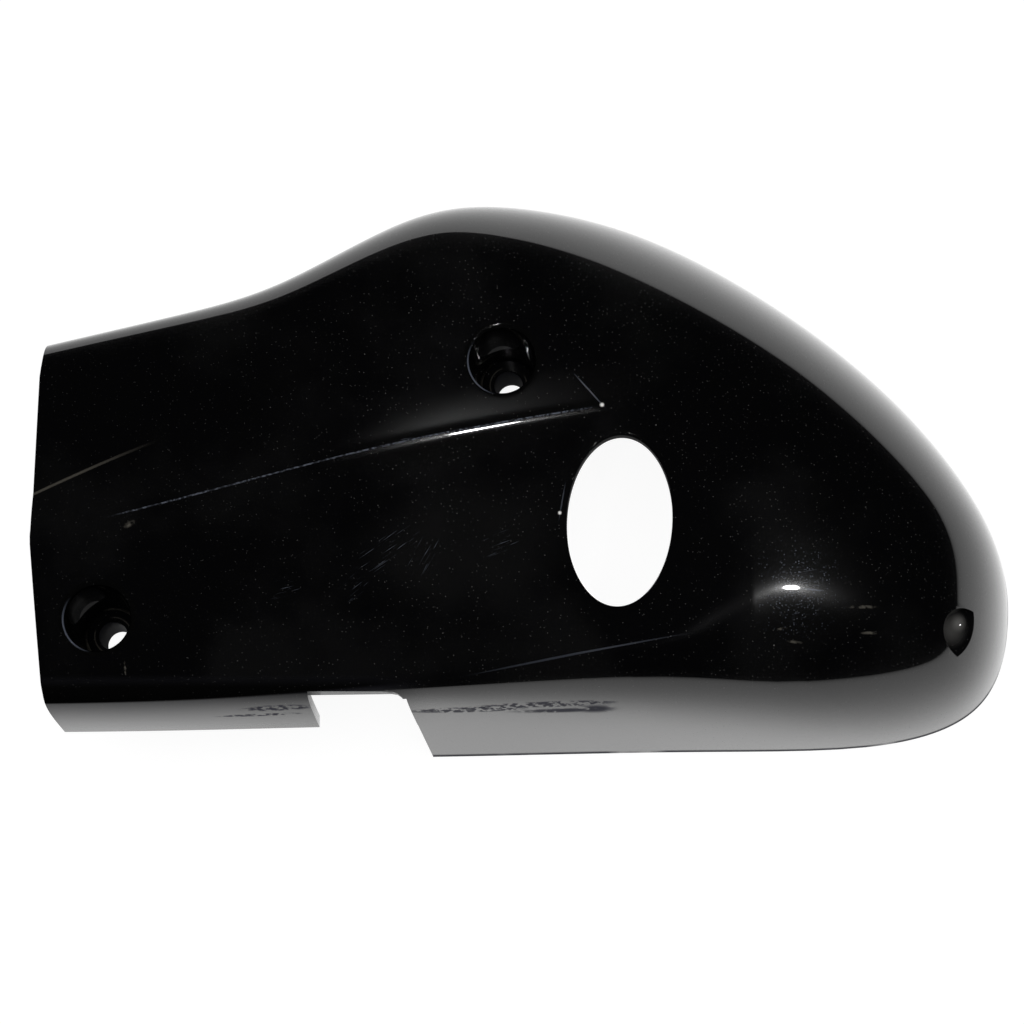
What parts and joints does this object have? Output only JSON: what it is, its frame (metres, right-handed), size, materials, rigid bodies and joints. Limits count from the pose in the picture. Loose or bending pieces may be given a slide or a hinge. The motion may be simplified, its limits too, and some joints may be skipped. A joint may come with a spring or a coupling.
{
  "type": "fork cover",
  "caption": "Glossy black moulded shell that covers a scooter's fork leg, with a tapering neck, a rounded bulb, screw cups and an oval opening.",
  "frame": {"origin": "centre of the bounding box on the plane of the bulb's rim", "axes": "+X along the cover from the neck's open end to the nose, +Y towards the bulb's hump, +Z out of the face"},
  "size_m": [0.2093, 0.1236, 0.0539],
  "materials": {
    "gloss_black": "polished black, lightly scratched and dusty"
  },
  "bodies": {
    "root": {"fork_cover": "gloss_black"}
  },
  "joints": []
}
